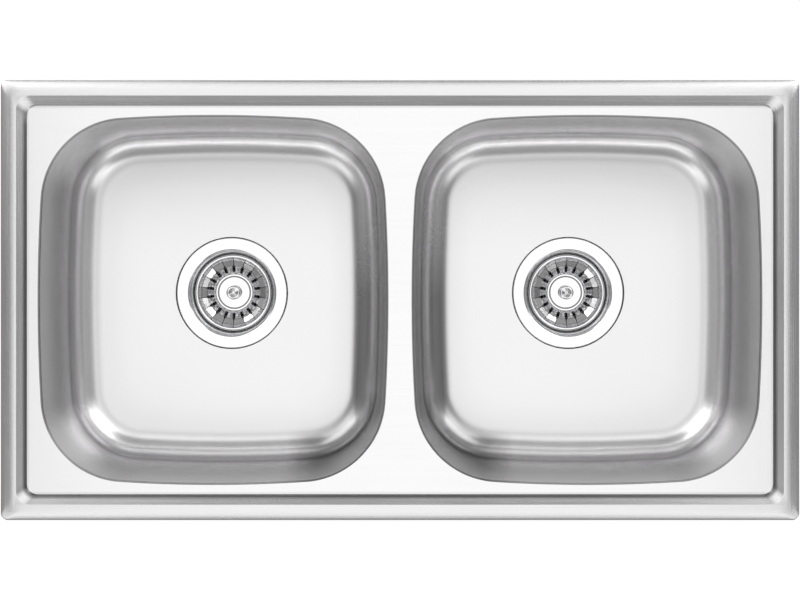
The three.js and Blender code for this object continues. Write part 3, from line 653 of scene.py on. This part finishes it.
def turned(section, x, y, segments=ROUND, rows_close=True):
    """A grid from a section [radius, height] that goes round an upright axis at x, y."""
    angle = np.arange(segments) * TURN / segments
    radius, height = section[:, :1], section[:, 1:]
    places = x + radius * np.cos(angle), y + radius * np.sin(angle), height
    return np.stack(np.broadcast_arrays(*places), -1), rows_close, True


def ring(inner, outer, low, high, ease=0.4):
    """The section of a flat washer with rounded edges."""
    return eased([[inner, low, ease], [outer, low, ease], [outer, high, ease], [inner, high, ease]], 4)


def turned_about(points, angle):
    """Points turned about the upright axis."""
    cos, sin = np.cos(angle), np.sin(angle)
    x, y, z = np.moveaxis(points, -1, 0)
    return np.stack([x * cos - y * sin, x * sin + y * cos, z], -1)


def sector_loop():
    """The edge of one hole's equal part of the outlet disc, centred on the X axis, anticlockwise."""
    half = np.pi / OUTLET_HOLES
    out = np.linspace(-half, half, ROUND // OUTLET_HOLES + 1)
    rise = np.linspace(WELL_RADIUS, DISC_EDGE, 7)[1:-1]
    angle = np.concatenate([out, np.full(len(rise), half), out[::-1], np.full(len(rise), -half)])
    edges = np.full(len(out), DISC_EDGE), rise[::-1], np.full(len(out), WELL_RADIUS), rise
    return np.concatenate(edges)[:, None] * heading(angle)


def pierced_disc():
    """The flat disc with the outlet holes on a circle, as one grid of rows for each hole.

    Rows go from the part's edge straight in to the hole, through it, and back out underneath.
    """
    edge = sector_loop()
    off = edge - [HOLE_CIRCLE, 0]
    hole = off / np.linalg.norm(off, axis=1, keepdims=True) * HOLE_RADIUS + [HOLE_CIRCLE, 0]
    flat = hole + (edge - hole) * np.linspace(1, 0, 5)[:, None, None]
    upper = [raised(row, OUTLET_DISC) for row in flat]
    lower = [raised(row, OUTLET_DISC - FLANGE_SHEET) for row in flat[::-1]]
    grid = np.stack(upper + lower)
    return [turned_about(grid, part * TURN / OUTLET_HOLES + np.pi / 2) for part in range(OUTLET_HOLES)]


def flange_grids(x, y):
    """The flange: a turned skin from its rim down the dish to the cup, a pierced disc and a well."""
    skin = eased(
        [
            [WELL_RADIUS, OUTLET_DISC - FLANGE_SHEET, 0],
            [CUP_RADIUS - 2.2, OUTLET_DISC - FLANGE_SHEET, 3],
            [CUP_RADIUS + 1, LEDGE - FLANGE_SHEET, 1.2],
            [DISH_FOOT + 1, LEDGE - FLANGE_SHEET, 1.2],
            [THROAT - 2, FLANGE_TOP - FLANGE_SHEET, 2.2],
            [FLANGE_RADIUS, FLANGE_TOP - FLANGE_SHEET, 0.2],
            [FLANGE_RADIUS, FLANGE_TOP, 0.7],
            [THROAT - 2.6, FLANGE_TOP, 3.4],
            [DISH_FOOT, LEDGE, 0.8],
            [CUP_RADIUS, LEDGE, 0.8],
            [CUP_RADIUS - 3, OUTLET_DISC, 2.4],
            [WELL_RADIUS, OUTLET_DISC, 0],
        ],
        7,
        closed=False,
    )
    past_disc = skin[skin[:, 0] > DISC_EDGE]
    skin = np.vstack([[DISC_EDGE, OUTLET_DISC - FLANGE_SHEET], past_disc, [DISC_EDGE, OUTLET_DISC]])
    well = eased(
        [
            [WELL_RADIUS, OUTLET_DISC, 0],
            [9, WELL_LEVEL, 0.6],
            [3.5, WELL_LEVEL, 0],
            [3.5, WELL_LEVEL - FLANGE_SHEET, 0],
            [10, WELL_LEVEL - FLANGE_SHEET, 1],
            [WELL_RADIUS, OUTLET_DISC - FLANGE_SHEET, 0],
        ],
        closed=False,
    )
    grids = [turned(skin, x, y, rows_close=False), turned(well, x, y, rows_close=False)]
    return grids + [(part + [x, y, 0], False, True) for part in pierced_disc()]


def threaded_rows(x, y, radius, depth, pitch, low, high, columns):
    """Rows of a screw thread about an upright axis, from high to low.

    The radius falls by depth between crests that climb a pitch a turn, and the groove runs out
    over one pitch at both ends.
    """
    height = np.linspace(high, low, int((high - low) / pitch * THREAD_ROWS))[:, None]
    angle = np.arange(columns) * TURN / columns
    phase = np.mod(height / pitch - angle / TURN, 1)
    runout = np.clip((height - low) / pitch, 0, 1) * np.clip((high - height) / pitch, 0, 1)
    radius = radius - np.clip(abs(phase - 0.5) * 2.6 - 0.25, 0, 1) * depth * runout
    places = x + radius * np.cos(angle), y + radius * np.sin(angle), height
    return np.stack(np.broadcast_arrays(*places), -1)


def body_grids(x, y):
    """The pot: one turned skin whose outer face has the outlet's thread."""
    inside = eased(
        [
            [49.5, BODY_TOP, 0],
            [48.6, BODY_TOP - 5.4, 2],
            [44, -188.5, 4],
            [24.5, -205.9, 4],
            [PIPE_BORE, OUTLET_TOP, 2],
            [PIPE_BORE, OUTLET_END, 0],
        ],
        closed=False,
    )
    outside = eased(
        [
            [PIPE_RADIUS, OUTLET_TOP - 1, 0],
            [25.9, -208.5, 1],
            [46.8, -189.9, 4],
            [51.4, BODY_TOP - 5.4, 2],
            [57.6, BODY_TOP - 4, 0.4],
            [58, BODY_TOP, 0.4],
        ],
        closed=False,
    )
    low, high = OUTLET_END + 1.2, OUTLET_TOP - 3
    mouth = np.array([[PIPE_BORE, OUTLET_END], [PIPE_RADIUS - 0.9, OUTLET_END], [PIPE_RADIUS, low]])
    screw = threaded_rows(x, y, PIPE_RADIUS, PIPE_GROOVE, PIPE_PITCH, low, high, ROUND)[::-1]
    inner, end, outer = (turned(line, x, y)[0] for line in (inside[:-1], mouth, outside))
    return [(np.concatenate([inner, end, screw[1:], outer]), True, True)]


flange_seal = ring(48, 57, RECESS_LEVEL, FLANGE_TOP - FLANGE_SHEET)
gasket = ring(47, 57, BODY_TOP, RECESS_LEVEL - SHEET)
fixing_screw = eased(
    [
        [0, -213, 0],
        [3, -213, 0.4],
        [3, WELL_LEVEL, 0.1],
        [7, WELL_LEVEL, 0.3],
        [7, HEAD_TOP, 0.5],
        [3.5, HEAD_TOP, 0.3],
        [3.5, -194.2, 0.3],
        [0, -194.2, 0],
    ],
    closed=False,
)

for label, side in SIDES:
    x, y = side * (BOWL_CENTRE - WASTE_INWARDS), WASTE_REAR
    piece(f"waste_flange_{label}", flange_grids(x, y), dull.material, "sink")
    piece(f"flange_seal_{label}", [turned(flange_seal, x, y)], rubber.material, "sink")
    piece(f"bowl_gasket_{label}", [turned(gasket, x, y)], rubber.material, "sink")
    piece(f"waste_body_{label}", body_grids(x, y), plastic.material, "sink")
    screw = turned(fixing_screw, x, y, 48, False)
    piece(f"fixing_screw_{label}", [screw], zinc.material, "sink")

# ---------------------------------------------------------------- baskets
# Each basket is one pressing of polished steel with a rolled rim, a slotted side and a flat floor. A
# turned knob above the floor and a pin below it are riveted together through it, and hold a rubber
# seal under it.
FLOOR_TOP, BASKET_SHEET = -184.3, 0.8
FLOOR_UNDER = FLOOR_TOP - BASKET_SHEET
SLOTS, SLOT_MIDDLE, SLOT_REACH = 18, 0.5, 0.36  # up is in parts of the side's length
GROOVE_IN, GROOVE_OUT = 16.2, 17.8  # a pressed groove in the floor, outside the knob

polish = Finish("polished_steel", (0.66, 0.66, 0.665), 0.1, 1.0)
smears = polish.noise(60, 4, 0.6)
polish.feed("Roughness", 0.07 + 0.1 * smears)
x, y, height = polish.axes()
across, along = abs(x) - (BOWL_CENTRE - WASTE_INWARDS), y - WASTE_REAR
radius = (across * across + along * along).root()
# Painted shade in the floor's pressed groove, outside the knob.
groove = radius.band(GROOVE_IN - 0.1, GROOVE_IN + 0.1, GROOVE_OUT - 0.1, GROOVE_OUT + 0.1)
groove = groove * (1 - height.over(FLOOR_TOP + 0.1, FLOOR_TOP + 0.3))
polish.feed("Base Color", polish.tinted((0.65 + 0.08 * smears) * (1 - 0.7 * groove), 1.0, 1.01))
polish.emboss(polish.noise(240, 2), 0.01)


def basket_side(fraction, outer):
    """[radius, height] up the basket's side: two leaning cones joined by bends, then a steep edge."""
    line = eased(
        [
            [19.3, FLOOR_TOP, 0],
            [20.2, -183.2, 0.6],
            [27.8, -177.0, 2.5],
            [36.0, -173.0, 1.2],
            [37.0, -170.0, 0],
        ],
        9,
        closed=False,
    )
    if outer:
        line = offset(line, BASKET_SHEET)
    length = np.concatenate([[0], np.cumsum(np.linalg.norm(np.diff(line, axis=0), axis=1))])
    length /= length[-1]
    return np.interp(fraction, length, line[:, 0]), np.interp(fraction, length, line[:, 1])


def basket_part():
    """One slot's equal part of the basket's side, with its slot, as a grid.

    The parts' middles are flattened a little between the slots. Across is in degrees of turn and
    up in parts of the side; the slot is wide below and narrows to a slit above.
    """
    half = 180 / SLOTS
    across = np.linspace(-half, half, 9)
    up = np.linspace(0, 1, 15)[1:-1]
    right, left = np.full(len(up), half), np.full(len(up), -half)
    edge_across = np.concatenate([across, right, across[::-1], left])
    edge_up = np.concatenate([0 * across, up, 0 * across + 1, up[::-1]])
    angle = np.arctan2(edge_up - SLOT_MIDDLE, edge_across / half * 0.5)
    slot_up = SLOT_MIDDLE + SLOT_REACH * np.sin(angle) * np.clip(abs(np.sin(angle)) + 0.35, 0, 1)
    width = np.interp(slot_up, [0.14, 0.18, 0.5, 0.57, 0.86], [0.8, 1.6, 1.6, 0.4, 0.3])
    radius, _ = basket_side(slot_up, False)
    slot_across = np.degrees(width / radius) * np.clip(np.cos(angle) * 2.6, -1, 1)
    way = np.linspace(1, 0, 5)[:, None]
    rows_across = slot_across + (edge_across - slot_across) * way
    rows_up = slot_up + (edge_up - slot_up) * way
    faces = []
    for outer, order in ((False, 1), (True, -1)):
        radius, height = basket_side(rows_up[::order], outer)
        turn = np.radians(rows_across[::order])
        flat = np.cos(np.radians(half)) / np.cos(np.radians(half) - abs(turn))
        share = np.clip(np.minimum(rows_up, 1 - rows_up) * 7, 0, 1)[::order]
        radius = radius * (1 + (flat - 1) * share)
        faces.append(np.stack([radius * np.cos(turn), radius * np.sin(turn), height], -1))
    return np.concatenate(faces)


def basket_grids(x, y):
    """The basket: a turned rolled rim, a turned floor with a groove, and one grid for each slot."""
    rim = eased(
        [
            [*basket_side(1.0, True), 0],
            [37.75, -169.9, 0.4],
            [37.8, -170.6, 0.4],
            [39.8, -170.65, 0.9],
            [39.8, -168.3, 1.0],
            [37.3, -168.3, 1.2],
            [*basket_side(1.0, False), 0],
        ],
        7,
        closed=False,
    )
    floor = eased(
        [
            [0, FLOOR_TOP, 0],
            [GROOVE_IN, FLOOR_TOP, 0.2],
            [GROOVE_IN + 0.35, FLOOR_TOP - 0.55, 0.1],
            [GROOVE_OUT - 0.35, FLOOR_TOP - 0.55, 0.1],
            [GROOVE_OUT, FLOOR_TOP, 0.2],
            [*basket_side(0.0, False), 0],
        ],
        closed=False,
    )
    below = np.array([basket_side(0.0, True), [18.0, FLOOR_UNDER], [0, FLOOR_UNDER]])
    part = basket_part()
    grids = [turned(line, x, y, rows_close=False) for line in (rim, floor, below)]
    for slot in range(SLOTS):
        grids.append((turned_about(part, slot * TURN / SLOTS + np.pi / 2) + [x, y, 0], False, True))
    return grids


knob = eased(
    [
        [0, FLOOR_TOP, 0],
        [5.2, FLOOR_TOP, 0.6],
        [3.2, -181, 2.4],
        [3.2, -176.8, 1.4],
        [7.5, -174.4, 1.2],
        [7.5, -170.4, 1.6],
        [5.6, -169.3, 1.2],
        [1.8, -171.9, 0.3],
        [1.3, -173.2, 0.3],
        [0, -175.4, 0],
    ],
    7,
    closed=False,
)
basket_seal = eased(
    [
        [10, FLOOR_UNDER, 0.3],
        [24.6, FLOOR_UNDER, 0.6],
        [27, -189.2, 0.5],
        [24.8, -189.1, 0.4],
        [23.2, -187.3, 1],
        [10, -187.3, 0.3],
    ]
)
pin = eased(
    [
        [0, FLOOR_UNDER, 0],
        [2.8, FLOOR_UNDER, 0.2],
        [2.3, -187.5, 1.2],
        [2.3, -190.2, 0.8],
        [2.8, -191.2, 0.8],
        [1.8, -193.4, 0.6],
        [0, -193.4, 0],
    ],
    6,
    closed=False,
)

for label, side in SIDES:
    x, y = side * (BOWL_CENTRE - WASTE_INWARDS), WASTE_REAR
    body = f"basket_{label}"
    piece(f"basket_cup_{label}", basket_grids(x, y), polish.material, body)
    piece(f"basket_knob_{label}", [turned(knob, x, y, 72, False)], polish.material, body)
    piece(f"basket_seal_{label}", [turned(basket_seal, x, y)], rubber.material, body)
    piece(f"basket_pin_{label}", [turned(pin, x, y, 48, False)], zinc.material, body)

# ---------------------------------------------------------------- clips
# Eight clips hold the rim down on the worktop. Each has a bracket of zinc-plated strip, spot-welded
# under the deck or a bowl's lap, a claw of the same strip that bites the worktop from below, and an
# M5 screw that draws the claw up.
STRIP, STRIP_WIDTH, SCREW_IN = 1.5, 20.0, 20.0
ARM_LEVEL, CLAW_LEVEL, CLAW_TIP, GUIDE_TIP = -29.75, -56.25, -40.0, -27.0
SCREW_RADIUS, SCREW_GROOVE, SCREW_PITCH, SCREW_POINTS = 2.5, 0.42, 0.8, 36
HEAD_LOW, HEAD_HIGH, SCREW_TOP = -60.5, -57.0, -25.0
CORNER_CLIP = LENGTH / 2 - 60
CLIP_HOLE, CUTTER_LENGTH = 3.0, 5.0


def bent_strip(line):
    """A strip of sheet that follows a line [in from the edge, height, bend radius], as one grid."""
    middle = eased(line, 6, closed=False)
    sides = [(-0.5, -0.5), (0.5, -0.5), (0.5, 0.5), (-0.5, 0.5)]
    columns = [np.insert(offset(middle, up * STRIP), 0, across * STRIP_WIDTH, 1) for across, up in sides]
    grid = np.stack(columns, 1)
    ends = np.broadcast_to(grid[[0, -1]].mean(1, keepdims=True), (2, 4, 3))
    return np.concatenate([ends[:1], grid, ends[1:]]), False, True


def cutter(radius, segments, place, along_y=False):
    """A prism to cut a hole or a notch with."""
    reach = CUTTER_LENGTH / 2
    section = np.array([[0, -reach], [radius, -reach], [radius, reach], [0, reach]])
    grid = turned(section, 0, 0, segments)[0]
    return bare([((grid[..., [0, 2, 1]] if along_y else grid) + place, False, True)])


def cut_out(shape, cutters, ease=0):
    """A shape's mesh with the cutters taken out, and its edges eased by so many millimetres."""
    for tool in cutters:
        cut = shape.modifiers.new("cut", "BOOLEAN")
        cut.operation, cut.solver, cut.object = "DIFFERENCE", "EXACT", tool
    if ease:
        bevel = shape.modifiers.new("ease", "BEVEL")
        bevel.width, bevel.segments, bevel.limit_method = ease / 1000, 2, "ANGLE"
        bevel.angle_limit, bevel.harden_normals = np.radians(40), True
    finished = shape.evaluated_get(bpy.context.evaluated_depsgraph_get())
    mesh = bpy.data.meshes.new_from_object(finished)
    for used in (shape, *cutters):
        bpy.data.objects.remove(used)
    return mesh


def bracket_mesh(seat):
    """A bracket whose foot is welded under the sheet at this height, with the screw's hole."""
    foot = seat - STRIP / 2
    line = [[35, foot, 0], [27.85, foot, 1.5], [27.85, ARM_LEVEL, 1.5], [12, ARM_LEVEL, 0]]
    hole = cutter(CLIP_HOLE, 40, [0, SCREW_IN, ARM_LEVEL])
    return cut_out(bare([bent_strip(line)]), [hole], 0.2)


def claw_mesh():
    """A claw with the screw's hole, a guide that slides on the bracket, and three teeth."""
    line = [[2.25, CLAW_TIP, 0], [2.25, CLAW_LEVEL, 1.5], [30.35, CLAW_LEVEL, 1.5], [30.35, GUIDE_TIP, 0]]
    notches = [cutter(1.5, 4, [x, 2.25, CLAW_TIP], True) for x in (-STRIP_WIDTH / 6, STRIP_WIDTH / 6)]
    hole = cutter(CLIP_HOLE, 40, [0, SCREW_IN, CLAW_LEVEL])
    return cut_out(bare([bent_strip(line)]), [hole, *notches], 0.15)


def clip_screw_mesh():
    """An M5 screw with a slotted head below and a thread above."""
    head = eased(
        [[0, HEAD_LOW, 0], [4.6, HEAD_LOW, 1], [4.6, HEAD_HIGH, 0.3], [SCREW_RADIUS, HEAD_HIGH, 0]],
        closed=False,
    )
    tip = np.array([[2.1, SCREW_TOP - 0.1], [1.7, SCREW_TOP], [0, SCREW_TOP]])
    low, high = HEAD_HIGH + 1, SCREW_TOP - 0.6
    shank = threaded_rows(0, SCREW_IN, SCREW_RADIUS, SCREW_GROOVE, SCREW_PITCH, low, high, SCREW_POINTS)
    head_rows, tip_rows = (turned(line, 0, SCREW_IN, SCREW_POINTS)[0] for line in (head, tip))
    slot_level = HEAD_LOW + 0.1
    slot = bare([bent_strip([[SCREW_IN - 6, slot_level, 0], [SCREW_IN + 6, slot_level, 0]])])
    slot.data.transform(Matrix.Diagonal((1.2 / STRIP_WIDTH, 1, 1, 1)))
    screw = bare([(np.concatenate([head_rows, shank[::-1], tip_rows]), False, True)])
    return cut_out(screw, [slot])


# The parts are shaped once, for a front edge at y = 0, and copied to each place.
deck_bracket, lap_bracket = bracket_mesh(DECK_TOP - SHEET), bracket_mesh(DECK_TOP - 2 * SHEET)
claw, clip_screw = claw_mesh(), clip_screw_mesh()
clip_places = [
    ("front_left", -CORNER_CLIP, -WIDTH / 2, 0, deck_bracket),
    ("front_middle", 0, -WIDTH / 2, 0, deck_bracket),
    ("front_right", CORNER_CLIP, -WIDTH / 2, 0, deck_bracket),
    ("rear_left", -CORNER_CLIP, WIDTH / 2, 2, deck_bracket),
    ("rear_middle", 0, WIDTH / 2, 2, deck_bracket),
    ("rear_right", CORNER_CLIP, WIDTH / 2, 2, deck_bracket),
    ("left", -LENGTH / 2, 0, -1, lap_bracket),
    ("right", LENGTH / 2, 0, 1, lap_bracket),
]
for place, x, y, quarters, bracket in clip_places:
    turn = Matrix.Rotation(quarters * np.pi / 2, 4, "Z")
    where = Matrix.Translation((x / 1000, y / 1000, 0)) @ turn
    parts = [
        ("bracket", bracket, "sink"),
        ("claw", claw, f"claw_{place}"),
        ("screw", clip_screw, f"screw_{place}"),
    ]
    for part, shape, body in parts:
        mesh = shape.copy()
        mesh.transform(where)
        node = f"clip_{part}_{place}"
        made = bpy.data.objects.new(node + "_look", mesh)
        scene.collection.objects.link(made)
        dress(made, zinc.material, body, node)

# ---------------------------------------------------------------- floor
# The sink stands on its outlets on plain pale paper. The camera and the steel see the paper nearly
# white, and it still takes the sink's shadow.
PAPER_GLOW, GLOW_SHARE = 1.06, 0.85

bpy.ops.mesh.primitive_plane_add(size=30, location=(0, 0, (OUTLET_END - 0.3) / 1000))
floor = bpy.context.object
floor.name = "floor"
paper = Finish("floor_paper", (0.9, 0.9, 0.9), 0.9)
from_camera = paper.add("LightPath", out="Is Camera Ray")
mirrored = paper.add("LightPath", out="Is Glossy Ray")
through = paper.add("LightPath", out="Is Transmission Ray")
seen = from_camera.most(mirrored).most(through)
glow = paper.add("Emission", None, {"Color": (1, 1, 1, 1), "Strength": PAPER_GLOW})
matt = Signal(paper, paper.shader.outputs[0])
shown = paper.add("MixShader", None, {0: seen * GLOW_SHARE, 1: matt, 2: glow})
paper.link(paper.tree.nodes["Material Output"].inputs["Surface"], shown)
floor.data.materials.append(paper.material)

# ---------------------------------------------------------------- light
# A large soft light overhead gives the pale flats, lamps low at the rear the streaks on the rim and
# the outer walls, and four lamps aslant the bright corners. The sky is palest low down and darkens
# overhead, which greys the walls.
SKY = [(0.0, 1.5), (0.18, 1.4), (0.42, 0.5), (0.8, 0.3), (1.0, 0.15)]  # from horizon to overhead


def soft_light(name, place, size, strength):
    """A rectangular soft light that faces the sink, placed and sized in metres.

    Its power is strength times pi times its area, so that a strength of 1 looks white.
    """
    light = bpy.data.lights.new(name, "AREA")
    light.shape = "RECTANGLE"
    light.size, light.size_y = size
    light.energy = strength * np.pi * size[0] * size[1]
    lamp = bpy.data.objects.new(name, light)
    lamp.location = place
    lamp.rotation_euler = (-Vector(place)).to_track_quat("-Z", "Y").to_euler()
    scene.collection.objects.link(lamp)


soft_light("overhead", (0, -0.05, 2.6), (2.2, 3.6), 1.43)
soft_light("rear", (0, 2.9, 0.62), (2.6, 1.2), 2.6)
for side in (-1, 1):
    soft_light(f"rear_{side}", (side * 1.9, 1.9, 1.1), (2.2, 1.2), 2.1)
    soft_light(f"front_diagonal_{side}", (side * 1.9, -1.7, 2.6), (1.6, 1.6), 1.15)
    soft_light(f"rear_diagonal_{side}", (side * 1.9, 1.7, 2.6), (1.8, 1.8), 2.0)

world = bpy.data.worlds.new("sky")
scene.world = world
world.use_nodes = True
sky = Nodes(world.node_tree)
up = sky.add("SeparateXYZ", None, {0: sky.add("TexCoord", out="Generated")}, out=2)
sky.link(world.node_tree.nodes["Background"].inputs["Color"], sky.add("ValToRGB", {"stops": SKY}, {0: up}))
